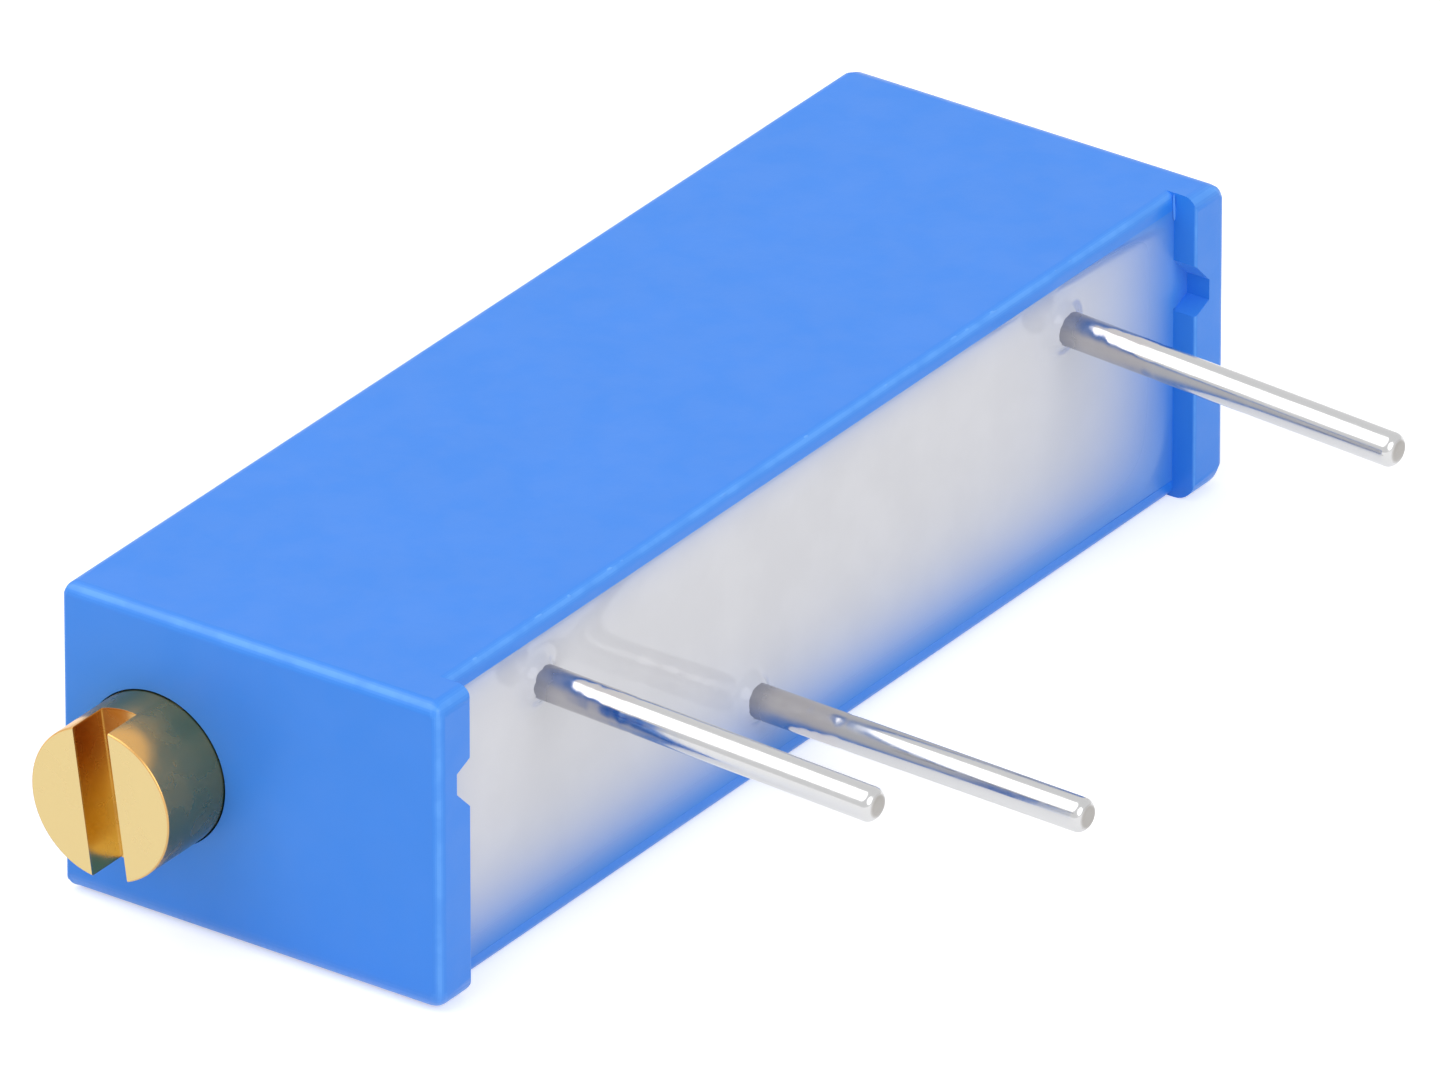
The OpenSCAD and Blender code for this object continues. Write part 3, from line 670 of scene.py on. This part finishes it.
radius = lead_tree.calc("SUBTRACT", radius, lead_tree.calc("MULTIPLY", bead, given["Dip_Step"]))
profile = lead_tree.add("GeometryNodeCurvePrimitiveCircle", {"mode": "RADIUS"}, Resolution=48, Radius=1.0)
wire_form = lead_tree.add("GeometryNodeCurveToMesh", Curve=drawn, Profile_Curve=profile, Scale=radius, Fill_Caps=True)
lead_tree.end(wire_form, tin.material)

for node, lean in (("start_lead", 0.04), ("wiper_lead", 0.02), ("end_lead", 0.05)):
    low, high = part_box(node)
    x_lead, z_lead = (low.x + high.x) / 2, (low.z + high.z) / 2
    y_tip = low.y + lean * (LEAD_R - TIP_ROUND)
    lead = lead_tree.grow(node + "_wire", X=x_lead, Z=z_lead, Top=high.y, Tip=y_tip, Radius=LEAD_R, Lean=lean,
                          Tip_Round=TIP_ROUND, Dip=y_mouth - DIP_FROM_CASE, Dip_Step=DIP_STEP)
    flat_and_round(lead, 50)
    finish_with(lead, tin, "body", "lead_tin", node)

# Rings of solder, reflowed round the leads' heads, join each lead to its film on the plate. They
# keep the frame's own shape.

solder = Skin("solder", (0.72, 0.72, 0.74), 0.18, 1.0)
solder.relief(solder.grain(0.1 * MM), 0.002 * MM)
for joint in ("start_solder", "wiper_solder", "end_solder"):
    frame_piece(joint, solder)

# Pale epoxy resin, poured into the mouth over the plate's back and the leads. Its cured face is glossy and hollow,
# climbs the walls and the leads, and is tinted blue near the walls: partly the wall showing through where it is
# thin, partly painted shade and painted reflection of the blue walls.

RESIN_DEPTH = 0.3 * MM
y_resin = y_mouth + RESIN_DEPTH
x_tab = x_pocket + NOTCH_DEPTH
z_notch = z_mid + NOTCH_UP
leads = [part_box(n) for n in ("start_lead", "wiper_lead", "end_lead")]
lead_places = [((low.x + high.x) / 2, (low.z + high.z) / 2) for low, high in leads]

# How far the resin reaches out from each wall, and how high it climbs there
WALL_CLIMB = 0.295 * MM
WET_LOW, WET_HIGH, WET_NEAR, WET_FAR = 0.45 * MM, 0.18 * MM, 0.2 * MM, 0.85 * MM
LEAD_CLIMB, LEAD_REACH = 0.2 * MM, 0.11 * MM


def resin_at(x, z):
    """Height of the resin's face at a point of the mouth, and how much blue tint it takes there."""
    walls = ((z - z_pocket_low, WET_LOW), (z_pocket_high - z, WET_HIGH),
             (x + x_pocket, WET_NEAR), (x_pocket - x, WET_FAR))
    climb = sum(math.exp(-max(d, 0) / w) for d, w in walls)
    blue_share = 1 - math.prod(1 - math.exp(-(max(d, 0) / (1.4 * w)) ** 1.2) for d, w in walls)
    lift = WALL_CLIMB * min(1.0, climb)
    for lx, lz in lead_places:
        away = max(math.hypot(x - lx, z - lz) - LEAD_R, 0)
        lift += LEAD_CLIMB * math.exp(-away / LEAD_REACH)
    return y_resin - min(lift, WALL_CLIMB), blue_share


columns = np.concatenate([[-x_tab], np.linspace(-x_pocket, x_pocket, 241), [x_tab]])
rows = np.linspace(z_pocket_low, z_pocket_high, 61)
form = bmesh.new()
shows = form.verts.layers.float.new("wall_tint_and_shade")
grid = {}
for i, x in enumerate(columns):
    for j, z in enumerate(rows):
        y, blue_share = resin_at(x, z)
        grid[i, j] = form.verts.new((x, y, z))
        grid[i, j][shows] = blue_share
for i in range(len(columns) - 1):
    for j in range(len(rows) - 1):
        in_mouth = 0 < i < len(columns) - 2
        in_notch = abs((rows[j] + rows[j + 1]) / 2 - z_notch) < NOTCH_HALF
        if in_mouth or in_notch:
            form.faces.new((grid[i, j], grid[i + 1, j], grid[i + 1, j + 1], grid[i, j + 1]))
bmesh.ops.delete(form, geom=[v for v in form.verts if not v.link_faces], context="VERTS")
rim = [e for e in form.edges if e.is_boundary]
skirt = bmesh.ops.extrude_edge_only(form, edges=rim)["geom"]
for vert in (g for g in skirt if isinstance(g, bmesh.types.BMVert)):
    vert.co.y = y_plate_back
bottom = [e for e in form.edges if e.is_boundary]
bmesh.ops.contextual_create(form, geom=bottom)
bmesh.ops.recalc_face_normals(form, faces=form.faces)
resin_mesh = bpy.data.meshes.new("potting_resin")
form.to_mesh(resin_mesh)
form.free()
resin = bpy.data.objects.new("potting_resin", resin_mesh)
bpy.context.scene.collection.objects.link(resin)
for face in resin_mesh.polygons:
    face.use_smooth = True
resin_mesh.set_sharp_from_angle(angle=math.radians(60))

epoxy = Skin("cast_epoxy", (0.70, 0.70, 0.73), 0.05)
wall_tint_and_shade = epoxy.tree.nodes.new("ShaderNodeAttribute")
wall_tint_and_shade.attribute_name = "wall_tint_and_shade"
cloud = epoxy.grain(1.2 * MM, 4)
pale = epoxy.tint(epoxy.ramp(cloud, 0.35, 0.7), (0.73, 0.73, 0.76))
# Blue near the walls: partly the wall showing through thin resin, partly painted shade and painted reflection of the
# walls.
epoxy.tint(wall_tint_and_shade.outputs["Fac"], (0.06, 0.26, 0.80), pale)
epoxy.polish(epoxy.math("MULTIPLY_ADD", wall_tint_and_shade.outputs["Fac"], 0.3, 0.05))
epoxy.relief(epoxy.grain(1.8 * MM, 2), 0.004 * MM)
finish_with(resin, epoxy, "body", "potting_resin", "potting")

# The part lies on a plain white table, which keeps its shadow.


def background_rays(tree):
    """1 for the rays that show the background, straight or in metal, gloss or glass, and 0 for others."""
    rays = tree.nodes.new("ShaderNodeLightPath").outputs
    shown = rays["Is Camera Ray"]
    for kind in ("Is Glossy Ray", "Is Transmission Ray"):
        either = tree.nodes.new("ShaderNodeMath")
        either.operation = "MAXIMUM"
        tree.links.new(shown, either.inputs[0])
        tree.links.new(rays[kind], either.inputs[1])
        shown = either.outputs[0]
    return shown


floor = block("table", (-0.6, -0.6, -0.01), (0.6, 0.6, 0))
white = Skin("white_table", (0.8, 0.8, 0.8), 0.9)
white.shader.inputs["Emission Color"].default_value = (1, 1, 1, 1)
white.link(white.math("MULTIPLY", background_rays(white.tree), 0.5), white.shader.inputs["Emission Strength"])
floor.data.materials.append(white.material)

# Even white surroundings and two large soft panels light the part from above and from the front.

world = bpy.data.worlds.new("studio")
bpy.context.scene.world = world
world.use_nodes = True
sky = world.node_tree
background = sky.nodes["Background"]
background.inputs["Color"].default_value = (1, 1, 1, 1)
seen = sky.nodes.new("ShaderNodeMapRange")
seen.inputs["To Min"].default_value = 0.58
seen.inputs["To Max"].default_value = 1.0
sky.links.new(background_rays(sky), seen.inputs["Value"])
sky.links.new(seen.outputs["Result"], background.inputs["Strength"])


def soft_lamp(name, place, aim, size, brightness):
    """A round panel of that brightness, aimed at the part."""
    data = bpy.data.lights.new(name, "AREA")
    data.shape = "DISK"
    data.size = size
    data.energy = brightness * math.pi * math.pi * (size / 2) ** 2
    lamp = bpy.data.objects.new(name, data)
    lamp.location = place
    lamp.rotation_euler = (Vector(aim) - Vector(place)).to_track_quat("-Z", "Y").to_euler()
    bpy.context.scene.collection.objects.link(lamp)


centre = (cad_low + cad_high) / 2
soft_lamp("overhead_panel", (-0.13, 0.13, 0.30), centre, 0.42, 1.44)
soft_lamp("front_panel", (-0.12, -0.32, 0.2), centre, 0.34, 1.67)

# The camera looks from the photograph's angle, from far off, so that the part's edges stay near parallel.

AIM = Vector((0.00037, -0.0009, 0.0024))
AZIMUTH, ELEVATION, ROLL = math.radians(54.95), math.radians(28.1), math.radians(-0.03)
DISTANCE = 0.4172
forward = Vector((math.sin(AZIMUTH) * math.cos(ELEVATION), math.cos(AZIMUTH) * math.cos(ELEVATION),
                  -math.sin(ELEVATION)))
camera_data = bpy.data.cameras.new("camera")
camera_data.sensor_width = 36
camera_data.lens = 750
camera_data.clip_start = 0.01
camera = bpy.data.objects.new("camera", camera_data)
camera.location = AIM - DISTANCE * forward
camera.rotation_euler = (forward.to_track_quat("-Z", "Y").to_matrix() @ Matrix.Rotation(ROLL, 3, "Z")).to_euler()
bpy.context.scene.collection.objects.link(camera)
bpy.context.scene.camera = camera
bpy.context.scene.view_settings.view_transform = "Standard"
